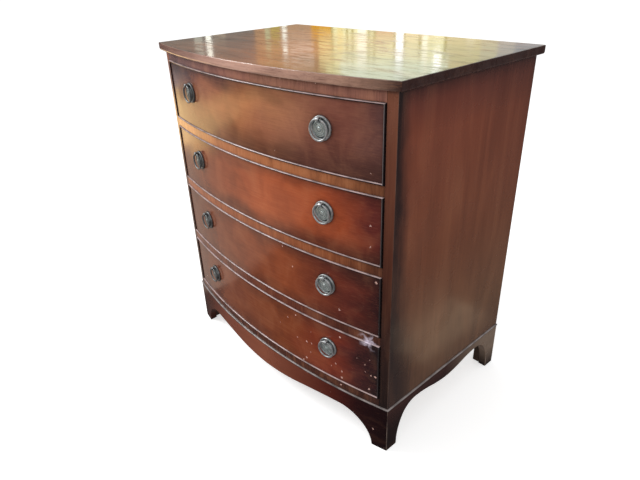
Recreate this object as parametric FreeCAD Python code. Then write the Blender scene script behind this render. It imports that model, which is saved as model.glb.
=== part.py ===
import FreeCAD, Part
import math
import os
from FreeCAD import Vector

# Bow front chest of four drawers. Millimetres, +Z up, the front faces -Y and +X is its right
# hand as one stands before it. The origin is on the floor, in the middle of the overall width
# and depth. Every curve of the front is an arc about one upright line, the bow axis.

# ---- Top
TOP_WIDTH = 762.0           # 30 inches over the moulded edge
TOP_END_DEPTH = 443.5       # front to back at the ends, where the bow is shallowest
TOP_THICK = 17.5
TOP_OVERHANG = 12.5         # past the sides and past the bow
TOP_BACK_OVERHANG = 5.5
TOP_UPPER_ARRIS = 1.5
TOP_LOWER_ROUND = 5.0
ROUND_FLATS = 3             # flats that stand for a small round moulding

# ---- Carcass
BOW_RADIUS = 1486.0         # of the carcass front
BASE_HEIGHT = 122.5         # floor to the underside of the carcass
OPENING_HEIGHT = 142.0      # each drawer opening
DRAWER_COUNT = 4
SIDE_THICK = 20.0
RAIL_THICK = 20.0
RAIL_END_DEPTH = 55.0       # front to back at the rail's ends
RAIL_STOP = 12.0            # how far behind the front edge its housing starts
HOUSING_DEPTH = 6.0         # rails and runners are let this far into the sides
RUNNER_WIDTH = 40.0         # inside the carcass
BACK_THICK = 8.0
BACK_REBATE = 10.0          # how far the back laps onto each side
DUSTBOARD_THICK = 6.0
DUSTBOARD_GROOVE = 8.0
PANEL_FIT = 0.2             # play of a loose panel in its groove

# ---- Drawers
DRAWER_GAP = 1.0            # round the front, to the opening
RUNNER_GAP = 0.3            # under the sides, to the runners
HEAD_GAP = 4.0              # over the sides, to what is above them
REAR_GAP = 10.0             # behind the drawer, to the back panel
FRONT_THICK = 24.0
DRAWER_SIDE_THICK = 10.0
DRAWER_BACK_THICK = 10.0
DRAWER_BACK_DROP = 6.0      # top edge of the back, below that of the sides
BOTTOM_THICK = 6.0
BOTTOM_RISE = 10.0          # underside of the bottom, above the side's lower edge
BOTTOM_GROOVE = 5.0
TAIL_COUNT = 4              # dovetails at each corner
TAIL_LENGTH = 13.0          # lapped tails in the front
TAIL_SLOPE = 7.0            # 1 in 7
PIN_WIDTH = 5.0             # narrow side of a pin
BEAD_THICK = 3.2            # cock bead round each front
BEAD_REBATE = 7.0
BEAD_PROUD = 2.5
BEAD_SHOULDER = 0.9         # where the round of its nose starts, from the front's face
STOP_LENGTH = 40.0
STOP_DEPTH = 14.0
STOP_HEIGHT = 6.0
STOP_X = 180.0
STOP_GAP = 0.3              # to the closed drawer front

# ---- Ring pulls
PULL_X = 221.0              # each side of the middle, measured straight across
PULL_RISE = 12.0            # above the middle of the opening
PLATE_RADIUS = 22.5
PLATE_EDGE = 1.6
RIM_WIDTH = 3.0
RIM_HEIGHT = 3.0
DISH_RADIUS = 16.8          # where the dish between rim and dome is lowest
DISH_HEIGHT = 1.2
DOME_RADIUS = 16.0
DOME_EDGE = 3.2
DOME_HEIGHT = 5.2
BUTTON_RADIUS = 4.8
BUTTON_EDGE = 7.4
BUTTON_HEIGHT = 8.5
RING_RADIUS = 19.0          # to the middle of the wire
WIRE_RADIUS = 2.0
WIRE_FLATS = 6              # flats round the wire
RING_STANDOFF = 9.5         # hinge line, from the drawer's face
RING_RISE = 17.5            # hinge line, above the middle of the plate
LUG_WIDTH = 7.0
LUG_RADIUS = 4.4
LUG_FLATS = 8
LUG_EYE_PLAY = 0.7          # eye radius over wire radius: the curved wire has to turn in it
LUG_NECK_WIDTH = 5.0
TURNED_FLATS = 20           # flats round a plate or a ring

# ---- Bracket base
PLINTH_BEAD_HEIGHT = 4.0
PLINTH_BEAD_PROUD = 3.4     # past the carcass
BASE_PROUD = 1.75           # past the carcass
BASE_THICK = 20.0
FOOT_WIDTH = 35.0           # from the carcass corner, along the front
APRON_RISE = 78.0           # highest line of the front apron
APRON_RUN = 83.5            # from the foot to that place
APRON_DROP = 21.0           # middle of the apron, below that line
APRON_POWER = 1.85          # 2 is a quarter ellipse, less is leaner
SIDE_FOOT_WIDTH = 32.0
SIDE_APRON_RISE = 99.0
SIDE_APRON_RUN = 63.5
SIDE_APRON_DROP = 16.0
SIDE_APRON_POWER = 2.15
REAR_BRACKET_THICK = 18.0
REAR_BRACKET_RUN = 60.0
REAR_BRACKET_RISE = 96.0
BLOCK_SIZE = 16.0
BLOCK_LIFT = 5.0            # corner blocks stop short of the floor
LONG_BLOCK_HEIGHT = 22.0
FRONT_BLOCK_INNER_X = 60.0
FRONT_BLOCK_OUTER_X = 200.0
SIDE_BLOCK_LENGTH = 170.0

# ---- Worked out
HALF_WIDTH = TOP_WIDTH / 2 - TOP_OVERHANG
INNER_HALF = HALF_WIDTH - SIDE_THICK
TOP_FRONT_RADIUS = BOW_RADIUS + TOP_OVERHANG
TOP_BOW = TOP_FRONT_RADIUS - math.sqrt(TOP_FRONT_RADIUS ** 2 - (TOP_WIDTH / 2) ** 2)
DEPTH = TOP_END_DEPTH + TOP_BOW
BOW_AXIS_Y = TOP_FRONT_RADIUS - DEPTH / 2
TOP_BACK_Y = DEPTH / 2
BACK_Y = TOP_BACK_Y - TOP_BACK_OVERHANG
BACK_FRONT_Y = BACK_Y - BACK_THICK
LEVEL_PITCH = OPENING_HEIGHT + RAIL_THICK
CARCASS_TOP = BASE_HEIGHT + DRAWER_COUNT * LEVEL_PITCH + RAIL_THICK
GROOVE_UNDER = (RAIL_THICK - DUSTBOARD_THICK) / 2
DRAWER_HALF = INNER_HALF - DRAWER_GAP
DRAWER_INNER_HALF = DRAWER_HALF - DRAWER_SIDE_THICK
FRONT_INNER_RADIUS = BOW_RADIUS - FRONT_THICK
DRAWER_REAR_Y = BACK_FRONT_Y - REAR_GAP
BASE_TOP = BASE_HEIGHT - PLINTH_BEAD_HEIGHT
BASE_RADIUS = BOW_RADIUS + BASE_PROUD
BASE_HALF = HALF_WIDTH + BASE_PROUD
BASE_INNER_RADIUS = BASE_RADIUS - BASE_THICK
BASE_INNER_HALF = BASE_HALF - BASE_THICK
APRON_STEPS = 4             # steps that shape each rise or fall of an apron's line
FAR = 600.0                 # past the object on any side, for cutting tools
MITRE_REACH = 60.0          # past both corners of a mitre, for the wedge that cuts it
SPARE_ANGLE = 1.0           # past both ends of a bowed strip, in degrees, cut off again

X_AXIS = Vector(1, 0, 0)
Y_AXIS = Vector(0, 1, 0)
Z_AXIS = Vector(0, 0, 1)
ORIGIN = Vector(0, 0, 0)
BOW_AXIS = Vector(0, BOW_AXIS_Y, 0)


# ---- Shapes that the pieces are made of

def bow_y(x, radius):
    """Y of the bow with this radius, at x."""
    return BOW_AXIS_Y - math.sqrt(radius ** 2 - x ** 2)


CORNER_Y = bow_y(HALF_WIDTH, BOW_RADIUS)
RAIL_BACK_Y = CORNER_Y + RAIL_END_DEPTH
LAND_Y = bow_y(DRAWER_INNER_HALF, FRONT_INNER_RADIUS)


def bow_arc(x0, x1, radius):
    """Edge along the bow from x0 to x1, at floor level."""
    ends = [Vector(x, bow_y(x, radius), 0) for x in (x0, (x0 + x1) / 2, x1)]
    return Part.Arc(*ends).toShape()


def line(start, end):
    return Part.LineSegment(start, end).toShape()


def arcs(points):
    """Edges through an odd number of points in a row, as one arc for each three."""
    return [Part.Arc(*points[k:k + 3]).toShape() for k in range(0, len(points) - 2, 2)]


def extruded(edges, z0, z1):
    """Solid over a closed outline at floor level, between two heights."""
    solid = Part.Face(Part.Wire(edges)).extrude(Vector(0, 0, z1 - z0))
    solid.translate(Vector(0, 0, z0))
    return solid


def bow_plate(x0, x1, radius, back_y, z0, z1):
    """Plate with a bowed front edge, straight ends and a straight back edge."""
    front_left = Vector(x0, bow_y(x0, radius), 0)
    front_right = Vector(x1, bow_y(x1, radius), 0)
    back_left = Vector(x0, back_y, 0)
    back_right = Vector(x1, back_y, 0)
    outline = [
        bow_arc(x0, x1, radius),
        line(front_right, back_right),
        line(back_right, back_left),
        line(back_left, front_left),
    ]
    return extruded(outline, z0, z1)


def bow_board(x0, x1, outer, inner, z0, z1):
    """Board bent to the bow, between an outer and an inner radius."""
    outline = [
        bow_arc(x0, x1, outer),
        line(Vector(x1, bow_y(x1, outer), 0), Vector(x1, bow_y(x1, inner), 0)),
        bow_arc(x1, x0, inner),
        line(Vector(x0, bow_y(x0, inner), 0), Vector(x0, bow_y(x0, outer), 0)),
    ]
    return extruded(outline, z0, z1)


def block(x0, x1, y0, y1, z0, z1):
    return Part.makeBox(x1 - x0, y1 - y0, z1 - z0, Vector(x0, y0, z0))


def prism(points, direction):
    """Solid over a polygon of points, along a direction."""
    return Part.Face(Part.makePolygon(points + points[:1])).extrude(direction)


def turned(outline):
    """Turn an outline of (radius, height) points about -Y, as a solid with a few flats round.

    The outline is closed, or it starts and ends at radius 0.
    """
    turns = [2 * math.pi * k / TURNED_FLATS for k in range(TURNED_FLATS + 1)]
    faces = []
    for (r0, h0), (r1, h1) in zip(outline, outline[1:]):
        for a, b in zip(turns, turns[1:]):
            corners = [(r0, h0, a), (r1, h1, a), (r1, h1, b), (r0, h0, b)]
            corners = [c for c in corners if c[0] > 0 or c[2] == a]
            points = [Vector(r * math.cos(t), -h, r * math.sin(t)) for r, h, t in corners]
            faces.append(Part.Face(Part.makePolygon(points + points[:1])))
    return Part.Solid(Part.Shell(faces))


def both_sides(shape):
    """The shape, and its mirror image across the middle of the chest."""
    return [shape, shape.mirror(ORIGIN, X_AXIS)]


def round_the_bow(outline, half):
    """Strip round the bow, past x = half on either side. Its outline is (bow radius, height)."""
    innermost = min(radius for radius, height in outline)
    angle = math.degrees(math.asin(half / innermost)) + SPARE_ANGLE
    points = [Vector(0, BOW_AXIS_Y - radius, height) for radius, height in outline]
    section = Part.Face(Part.makePolygon(points + points[:1]))
    section.rotate(BOW_AXIS, Z_AXIS, -angle)
    return section.revolve(BOW_AXIS, Z_AXIS, 2 * angle)


def nose(shoulder, tip, low, high, flats):
    """Up a rounded nose: half an ellipse in an odd number of flats, as (reach, height) points.

    The middle flat lies at the tip.
    """
    angles = [math.pi * k / flats for k in range(flats + 1)]
    bulge = (tip - shoulder) / math.cos(math.pi / (2 * flats))
    return [(shoulder + bulge * math.sin(a),
             (low + high) / 2 - (high - low) / 2 * math.cos(a)) for a in angles]


def on_bow(shape, x, z):
    """Move a shape drawn at the origin, facing -Y, onto the drawer face at x and z."""
    angle = math.asin(x / BOW_RADIUS)
    moved = shape.copy()
    moved.rotate(ORIGIN, Z_AXIS, math.degrees(angle))
    moved.translate(Vector(x, BOW_AXIS_Y - BOW_RADIUS * math.cos(angle), z))
    return moved


# ---- Carcass

def level_z(level):
    """Underside of a rail. Level 0 is the bottom rail and level DRAWER_COUNT the top one."""
    return BASE_HEIGHT + level * LEVEL_PITCH


def make_top():
    """Slab with the bow of the front, a rounded lower edge and an eased upper one."""
    half = TOP_WIDTH / 2
    under = CARCASS_TOP
    over = CARCASS_TOP + TOP_THICK
    behind = TOP_FRONT_RADIUS - 2 * DEPTH
    front_edge = top_edge(TOP_FRONT_RADIUS, under, over)
    bowed = round_the_bow([(behind, under)] + front_edge + [(behind, over)], half)
    right_edge = top_edge(half, under, over)
    left_edge = [(-x, z) for x, z in reversed(right_edge)]
    section = [Vector(x, -FAR, z) for x, z in right_edge + left_edge]
    return bowed.common(prism(section, Vector(0, FAR + TOP_BACK_Y, 0)))


def top_edge(reach, under, over):
    """Up the edge of the top, as (reach, height): a quarter round, a flat and an eased arris."""
    start = reach - TOP_LOWER_ROUND
    angles = [math.pi / 2 * k / ROUND_FLATS for k in range(ROUND_FLATS + 1)]
    quarter = [(start + TOP_LOWER_ROUND * math.sin(a),
                under + TOP_LOWER_ROUND * (1 - math.cos(a))) for a in angles]
    return quarter + [(reach, over - TOP_UPPER_ARRIS), (reach - TOP_UPPER_ARRIS, over)]


def make_side():
    """Right-hand side: its front edge follows the bow, its inside is housed for the rails."""
    side = bow_plate(INNER_HALF, HALF_WIDTH, BOW_RADIUS, BACK_Y, BASE_HEIGHT, CARCASS_TOP)
    housing_front = CORNER_Y + RAIL_STOP
    housing_x = INNER_HALF + HOUSING_DEPTH
    for level in range(DRAWER_COUNT + 1):
        z = level_z(level)
        housing = block(INNER_HALF, housing_x, housing_front, BACK_FRONT_Y, z, z + RAIL_THICK)
        side = side.cut(housing)
    rebate_x = INNER_HALF + BACK_REBATE
    rebate = block(INNER_HALF, rebate_x, BACK_FRONT_Y, BACK_Y, BASE_HEIGHT, CARCASS_TOP)
    return side.cut(rebate)


def make_back_panel():
    half = INNER_HALF + BACK_REBATE - PANEL_FIT
    return block(-half, half, BACK_FRONT_Y, BACK_Y, BASE_HEIGHT, CARCASS_TOP)


def make_rail(level):
    """Bowed rail with a stub tenon at each end and, but at the top, a groove behind."""
    z = level_z(level)
    rail = bow_plate(-INNER_HALF, INNER_HALF, BOW_RADIUS, RAIL_BACK_Y, z, z + RAIL_THICK)
    reach = INNER_HALF + HOUSING_DEPTH
    rail = rail.fuse(block(-reach, reach, CORNER_Y + RAIL_STOP, RAIL_BACK_Y, z, z + RAIL_THICK))
    rail = rail.removeSplitter()
    if level == DRAWER_COUNT:
        return rail
    low = z + GROOVE_UNDER
    high = low + DUSTBOARD_THICK
    return rail.cut(block(-INNER_HALF, INNER_HALF, RAIL_BACK_Y - DUSTBOARD_GROOVE, RAIL_BACK_Y,
                          low, high))


def make_runner(level):
    """Right-hand runner: tongued into the rail, grooved for the dustboard."""
    z = level_z(level)
    inner = INNER_HALF - RUNNER_WIDTH
    outer = INNER_HALF + HOUSING_DEPTH
    low = z + GROOVE_UNDER
    high = low + DUSTBOARD_THICK
    runner = block(inner, outer, RAIL_BACK_Y, BACK_FRONT_Y, z, z + RAIL_THICK)
    runner = runner.cut(block(inner, inner + DUSTBOARD_GROOVE, RAIL_BACK_Y, BACK_FRONT_Y, low, high))
    tongue = block(inner + DUSTBOARD_GROOVE, INNER_HALF, RAIL_BACK_Y - DUSTBOARD_GROOVE,
                   RAIL_BACK_Y, low, high)
    return runner.fuse(tongue).removeSplitter()


def make_dustboard(level):
    low = level_z(level) + GROOVE_UNDER
    half = INNER_HALF - RUNNER_WIDTH + DUSTBOARD_GROOVE - PANEL_FIT
    return block(-half, half, RAIL_BACK_Y - DUSTBOARD_GROOVE + PANEL_FIT,
                 BACK_FRONT_Y, low, low + DUSTBOARD_THICK - PANEL_FIT)


def make_kicker():
    """Right-hand bearer under the top: keeps the top drawer level as it is pulled out."""
    z = level_z(DRAWER_COUNT)
    return block(INNER_HALF - RUNNER_WIDTH, INNER_HALF + HOUSING_DEPTH, RAIL_BACK_Y,
                 BACK_FRONT_Y, z, z + RAIL_THICK)


def make_drawer_stops():
    """Two small blocks on each rail, just behind the closed drawer front."""
    outer = FRONT_INNER_RADIUS - STOP_GAP
    stops = []
    for level in range(DRAWER_COUNT):
        z = level_z(level) + RAIL_THICK
        stop = bow_board(STOP_X - STOP_LENGTH / 2, STOP_X + STOP_LENGTH / 2,
                         outer, outer - STOP_DEPTH, z, z + STOP_HEIGHT)
        stops += both_sides(stop)
    return stops


# ---- Bracket base

def mitre_wedge(outer_half, outer_radius, inner_half, inner_radius):
    """Everything in front of the mitre at both corners, from inside corner to outside corner."""
    outer = Vector(outer_half, bow_y(outer_half, outer_radius), 0)
    inner = Vector(inner_half, bow_y(inner_half, inner_radius), 0)
    reach = (outer - inner).normalize() * MITRE_REACH
    far_out = outer + reach
    far_in = inner - reach
    points = [far_out, far_in, Vector(-far_in.x, far_in.y, 0), Vector(-far_out.x, far_out.y, 0),
              Vector(-far_out.x, -FAR, 0), Vector(far_out.x, -FAR, 0)]
    return prism(points, Vector(0, 0, BASE_HEIGHT))


def apron_outline(foot, run, rise, drop, power, span):
    """Lower line of an apron, from one foot (0) to the other (span), as (along, height).

    From each foot it climbs a quarter of a superellipse, and between the two crests it dips
    in one wave to the middle.
    """
    angles = [math.pi / 2 * k / APRON_STEPS for k in range(APRON_STEPS + 1)]
    climb = [(foot + run * (1 - max(math.cos(a), 0) ** (2 / power)),
              rise * math.sin(a) ** (2 / power)) for a in angles]
    crest = foot + run
    wave_span = span - 2 * crest
    wave = [(crest + wave_span * k / (2 * APRON_STEPS),
             rise - drop * (1 - math.cos(math.pi * k / APRON_STEPS)) / 2)
            for k in range(2 * APRON_STEPS + 1)]
    descent = [(span - along, height) for along, height in reversed(climb)]
    return climb, wave, descent


def apron_cutter(foot, run, rise, drop, power, span, place, direction):
    """Solid that leaves the apron and feet when it is cut from a plain board.

    place turns (along, height) into a point, and direction is the way through the board.
    """
    curves = apron_outline(foot, run, rise, drop, power, span)
    edges = []
    for curve in curves:
        edges += arcs([place(along, height) for along, height in curve])
    below = -FAR
    floor = [place(span - foot, 0), place(span - foot, below), place(foot, below), place(foot, 0)]
    edges += [line(a, b) for a, b in zip(floor, floor[1:])]
    return Part.Face(Part.Wire(edges)).extrude(direction)


def make_base_front():
    """Bowed front board, mitred at the corners, with both front feet and the shaped apron."""
    reach = BASE_HALF
    board = bow_board(-reach, reach, BASE_RADIUS, BASE_INNER_RADIUS, 0, BASE_TOP)
    board = board.common(mitre_wedge(BASE_HALF, BASE_RADIUS, BASE_INNER_HALF, BASE_INNER_RADIUS))
    cutter = apron_cutter(FOOT_WIDTH, APRON_RUN, APRON_RISE, APRON_DROP, APRON_POWER,
                          2 * HALF_WIDTH,
                          lambda along, height: Vector(along - HALF_WIDTH, -FAR, height),
                          Vector(0, 2 * FAR, 0))
    return board.cut(cutter)


def make_base_side():
    """Right-hand board of the base, mitred to the front one, with its apron."""
    board = block(BASE_INNER_HALF, BASE_HALF, bow_y(BASE_HALF, BASE_RADIUS), BACK_Y, 0, BASE_TOP)
    board = board.cut(mitre_wedge(BASE_HALF, BASE_RADIUS, BASE_INNER_HALF, BASE_INNER_RADIUS))
    cutter = apron_cutter(SIDE_FOOT_WIDTH, SIDE_APRON_RUN, SIDE_APRON_RISE, SIDE_APRON_DROP,
                          SIDE_APRON_POWER, BACK_Y - CORNER_Y,
                          lambda along, height: Vector(0, CORNER_Y + along, height),
                          Vector(FAR, 0, 0))
    return board.cut(cutter)


def make_rear_bracket():
    """Right-hand board across the back of the base: a foot and half an apron curve."""
    curves = apron_outline(FOOT_WIDTH, REAR_BRACKET_RUN, REAR_BRACKET_RISE, 0, APRON_POWER, FAR)
    climb = arcs([Vector(HALF_WIDTH - along, BACK_Y, height) for along, height in curves[0]])
    crest = HALF_WIDTH - FOOT_WIDTH - REAR_BRACKET_RUN
    corners = [(crest, REAR_BRACKET_RISE), (crest, BASE_HEIGHT), (BASE_INNER_HALF, BASE_HEIGHT),
               (BASE_INNER_HALF, 0), (HALF_WIDTH - FOOT_WIDTH, 0)]
    points = [Vector(x, BACK_Y, z) for x, z in corners]
    edges = climb + [line(a, b) for a, b in zip(points, points[1:])]
    return Part.Face(Part.Wire(edges)).extrude(Vector(0, -REAR_BRACKET_THICK, 0))


def make_plinth_beads():
    """Half-round bead between carcass and base: a bowed strip and two straight ones."""
    tip = BOW_RADIUS + PLINTH_BEAD_PROUD
    tip_half = HALF_WIDTH + PLINTH_BEAD_PROUD
    wedge = mitre_wedge(tip_half, tip, BASE_INNER_HALF, BASE_INNER_RADIUS)
    front = round_the_bow(plinth_section(tip, BASE_INNER_RADIUS), tip_half)
    start_y = bow_y(tip_half, tip)
    section = [Vector(x, start_y, z) for x, z in plinth_section(tip_half, BASE_INNER_HALF)]
    side = prism(section, Vector(0, BACK_Y - start_y, 0))
    return [front.common(wedge)] + both_sides(side.cut(wedge))


def plinth_section(tip, back):
    """Round the plinth bead's section, as (reach, height)."""
    shoulder = tip - PLINTH_BEAD_HEIGHT / 2
    return ([(back, BASE_TOP)] + nose(shoulder, tip, BASE_TOP, BASE_HEIGHT, ROUND_FLATS)
            + [(back, BASE_HEIGHT)])


def make_glue_blocks():
    """Blocks rubbed into the corners of the base and along the top of its boards."""
    inner = BASE_INNER_HALF - BLOCK_SIZE
    corner_y = bow_y(BASE_INNER_HALF, BASE_INNER_RADIUS)
    front_post = bow_plate(inner, BASE_INNER_HALF, BASE_INNER_RADIUS, corner_y + BLOCK_SIZE,
                           BLOCK_LIFT, BASE_HEIGHT)
    bracket_y = BACK_Y - REAR_BRACKET_THICK
    rear_post = block(inner, BASE_INNER_HALF, bracket_y - BLOCK_SIZE, bracket_y,
                      BLOCK_LIFT, BASE_HEIGHT)
    under = BASE_HEIGHT - LONG_BLOCK_HEIGHT
    front_bar = bow_board(FRONT_BLOCK_INNER_X, FRONT_BLOCK_OUTER_X, BASE_INNER_RADIUS,
                          BASE_INNER_RADIUS - BLOCK_SIZE, under, BASE_HEIGHT)
    middle_y = (CORNER_Y + BACK_Y) / 2
    side_bar = block(inner, BASE_INNER_HALF, middle_y - SIDE_BLOCK_LENGTH / 2,
                     middle_y + SIDE_BLOCK_LENGTH / 2, under, BASE_HEIGHT)
    blocks = []
    for piece in (front_post, rear_post, front_bar, side_bar):
        blocks += both_sides(piece)
    return blocks


# ---- Drawers

def opening_z(number):
    """Floor of the opening of a drawer. Drawer 1 is the top one."""
    return level_z(DRAWER_COUNT - number) + RAIL_THICK


def tails(y_root, y_tip, z0, z1):
    """Row of dovetails at both ends of a board, as seen from the drawer's side.

    Each tail widens from its root to its tip. The pins between them are what is left over.
    """
    flare = abs(y_tip - y_root) / TAIL_SLOPE
    pitch = (z1 - z0) / TAIL_COUNT
    tip_half = (pitch - PIN_WIDTH) / 2
    root_half = tip_half - flare
    row = []
    for k in range(TAIL_COUNT):
        middle = z0 + (k + 0.5) * pitch
        points = [
            Vector(DRAWER_INNER_HALF, y_root, middle - root_half),
            Vector(DRAWER_INNER_HALF, y_tip, middle - tip_half),
            Vector(DRAWER_INNER_HALF, y_tip, middle + tip_half),
            Vector(DRAWER_INNER_HALF, y_root, middle + root_half),
        ]
        row += both_sides(prism(points, Vector(DRAWER_SIDE_THICK, 0, 0)))
    return row


def bead_window(z0, z1):
    """The space inside the cock bead, right through the front."""
    half = DRAWER_HALF - BEAD_THICK
    return block(-half, half, -FAR, FAR, z0 + BEAD_THICK, z1 - BEAD_THICK)


def make_cock_bead(z0, z1):
    """Four strips let in round the edge of the front, round-nosed and mitred."""
    half = DRAWER_HALF
    inner = half - BEAD_THICK
    back = BOW_RADIUS - BEAD_REBATE
    shoulder = BOW_RADIUS + BEAD_SHOULDER
    tip = BOW_RADIUS + BEAD_PROUD
    strips = []
    for low, high, outer_z, inner_z in ((z0, z0 + BEAD_THICK, z0, z0 + BEAD_THICK),
                                        (z1 - BEAD_THICK, z1, z1, z1 - BEAD_THICK)):
        mitre = [(-half, outer_z), (half, outer_z), (inner, inner_z), (-inner, inner_z)]
        wedge = prism([Vector(x, -FAR, z) for x, z in mitre], Vector(0, 2 * FAR, 0))
        section = [(back, low)] + nose(shoulder, tip, low, high, ROUND_FLATS) + [(back, high)]
        strips.append(round_the_bow(section, half).common(wedge))
    rounded = [Vector(x, bow_y(x, reach), 0)
               for reach, x in nose(shoulder, tip, inner, half, ROUND_FLATS)]
    outline = [line(a, b) for a, b in zip(rounded, rounded[1:])] + [
        line(rounded[-1], Vector(half, bow_y(half, back), 0)),
        bow_arc(half, inner, back),
        line(Vector(inner, bow_y(inner, back), 0), rounded[0]),
    ]
    mitre = [(half, z0), (half, z1), (inner, z1 - BEAD_THICK), (inner, z0 + BEAD_THICK)]
    wedge = prism([Vector(x, -FAR, z) for x, z in mitre], Vector(0, 2 * FAR, 0))
    upright = extruded(outline, z0, z1).common(wedge)
    return strips + both_sides(upright)


def make_front(z0, z1, tail_row, bottom_groove):
    """Bowed front: rebated for the bead, socketed for the lapped tails of the sides."""
    front = bow_board(-DRAWER_HALF, DRAWER_HALF, BOW_RADIUS, FRONT_INNER_RADIUS, z0, z1)
    land = block(DRAWER_INNER_HALF, FAR, LAND_Y, FAR, z0, z1)
    rebate = bow_board(-DRAWER_HALF, DRAWER_HALF, BOW_RADIUS + BEAD_THICK,
                       BOW_RADIUS - BEAD_REBATE, z0, z1).cut(bead_window(z0, z1))
    return front.cut(both_sides(land) + [rebate, bottom_groove] + tail_row)


def make_drawer(number):
    """All pieces of one drawer but its rings, by name."""
    floor = opening_z(number)
    z0 = floor + DRAWER_GAP
    z1 = floor + OPENING_HEIGHT - DRAWER_GAP
    side_low = floor + RUNNER_GAP
    side_high = floor + OPENING_HEIGHT - HEAD_GAP
    bottom_low = side_low + BOTTOM_RISE
    bottom_high = bottom_low + BOTTOM_THICK
    back_low = bottom_high + PANEL_FIT
    back_high = side_high - DRAWER_BACK_DROP
    back_y = DRAWER_REAR_Y - DRAWER_BACK_THICK
    groove_half = DRAWER_INNER_HALF + BOTTOM_GROOVE
    groove_radius = FRONT_INNER_RADIUS + BOTTOM_GROOVE

    groove = bow_plate(-groove_half, groove_half, groove_radius, FAR, bottom_low, back_low)
    front_tails = tails(LAND_Y, LAND_Y - TAIL_LENGTH, side_low, side_high)
    rear_tails = tails(back_y, DRAWER_REAR_Y, back_low, back_high)

    front = make_front(z0, z1, front_tails, groove)
    back = block(-DRAWER_HALF, DRAWER_HALF, back_y, DRAWER_REAR_Y, back_low, back_high)
    back = back.cut(rear_tails)
    side = block(DRAWER_INNER_HALF, DRAWER_HALF, LAND_Y - TAIL_LENGTH, DRAWER_REAR_Y,
                 side_low, side_high)
    side = side.cut([front, back, groove])
    bottom = bow_plate(-groove_half + PANEL_FIT, groove_half - PANEL_FIT,
                       groove_radius - PANEL_FIT, DRAWER_REAR_Y, bottom_low, bottom_high)
    right_side, left_side = both_sides(side)
    return {
        "front": front,
        "cock_bead": Part.makeCompound(make_cock_bead(z0, z1)),
        "left_side": left_side,
        "right_side": right_side,
        "back": back,
        "bottom": bottom,
        "pull_plates": Part.makeCompound(pull_pair(make_plate(), floor)),
    }


# ---- Ring pulls, drawn at the origin facing -Y

def pull_pair(shape, floor):
    """A pull's shape in its two places on the drawer over this opening floor."""
    z = floor + OPENING_HEIGHT / 2 + PULL_RISE
    return [on_bow(shape, x, z) for x in (-PULL_X, PULL_X)]


def make_plate():
    """Turned round plate with rim, dish, dome and button, and a lug with an eye at its top."""
    rim_inner = PLATE_RADIUS - RIM_WIDTH
    rim_top = PLATE_RADIUS - RIM_WIDTH / 2
    plate = turned([(0, 0), (PLATE_RADIUS, 0), (PLATE_RADIUS, PLATE_EDGE), (rim_top, RIM_HEIGHT),
                    (rim_inner, DISH_HEIGHT), (DISH_RADIUS, DISH_HEIGHT), (DOME_RADIUS, DOME_EDGE),
                    (BUTTON_RADIUS, DOME_HEIGHT), (BUTTON_RADIUS, BUTTON_EDGE),
                    (0, BUTTON_HEIGHT)])
    eye_centre = Vector(-LUG_WIDTH / 2, -RING_STANDOFF, RING_RISE)
    turns = [2 * math.pi * (k + 0.5) / LUG_FLATS for k in range(LUG_FLATS)]
    barrel = prism([eye_centre + Vector(0, math.cos(a), math.sin(a)) * LUG_RADIUS for a in turns],
                   Vector(LUG_WIDTH, 0, 0))
    neck = block(-LUG_NECK_WIDTH / 2, LUG_NECK_WIDTH / 2, -RING_STANDOFF, 0,
                 RING_RISE - LUG_NECK_WIDTH / 2, RING_RISE + LUG_NECK_WIDTH / 2)
    eye = Part.makeCylinder(WIRE_RADIUS + LUG_EYE_PLAY, LUG_WIDTH, eye_centre, X_AXIS)
    return plate.fuse([barrel, neck]).cut(eye)


def make_ring(x, number):
    """Plain ring of round wire, hanging through the eye of its lug."""
    angles = [2 * math.pi * (k + 0.5) / WIRE_FLATS for k in range(WIRE_FLATS + 1)]
    ring = turned([(RING_RADIUS + WIRE_RADIUS * math.cos(a), WIRE_RADIUS * math.sin(a))
                   for a in angles])
    ring.translate(Vector(0, -RING_STANDOFF, RING_RISE - RING_RADIUS))
    return on_bow(ring, x, opening_z(number) + OPENING_HEIGHT / 2 + PULL_RISE)


# ---- Every piece, by name

def all_parts():
    right_side, left_side = both_sides(make_side())
    base_right, base_left = both_sides(make_base_side())
    levels = range(DRAWER_COUNT)
    parts = {
        "top": make_top(),
        "left_side": left_side,
        "right_side": right_side,
        "back_panel": make_back_panel(),
        "top_rail": make_rail(DRAWER_COUNT),
        "bottom_rail": make_rail(0),
        "runners": Part.makeCompound([r for n in levels for r in both_sides(make_runner(n))]),
        "dustboards": Part.makeCompound([make_dustboard(n) for n in levels]),
        "top_kickers": Part.makeCompound(both_sides(make_kicker())),
        "drawer_stops": Part.makeCompound(make_drawer_stops()),
        "plinth_bead": Part.makeCompound(make_plinth_beads()),
        "base_front": make_base_front(),
        "base_left": base_left,
        "base_right": base_right,
        "rear_brackets": Part.makeCompound(both_sides(make_rear_bracket())),
        "glue_blocks": Part.makeCompound(make_glue_blocks()),
    }
    for number in range(1, DRAWER_COUNT):
        parts["drawer_rail_%d" % number] = make_rail(DRAWER_COUNT - number)
    for number in range(1, DRAWER_COUNT + 1):
        for piece, shape in make_drawer(number).items():
            parts["drawer_%d_%s" % (number, piece)] = shape
        parts["drawer_%d_ring_left" % number] = make_ring(-PULL_X, number)
        parts["drawer_%d_ring_right" % number] = make_ring(PULL_X, number)
    return parts


os.makedirs("parts", exist_ok=True)
for name, shape in all_parts().items():
    shape.exportStep("parts/%s.step" % name)
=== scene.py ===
# A bow front chest of four drawers in mahogany, French polished, with ebonised cock beads and
# antique brass ring pulls. Metres, +Z up. The front faces -Y, and +X is on its right.

import functools
import math

import bmesh
import bpy
from mathutils import Matrix, Vector


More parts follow.
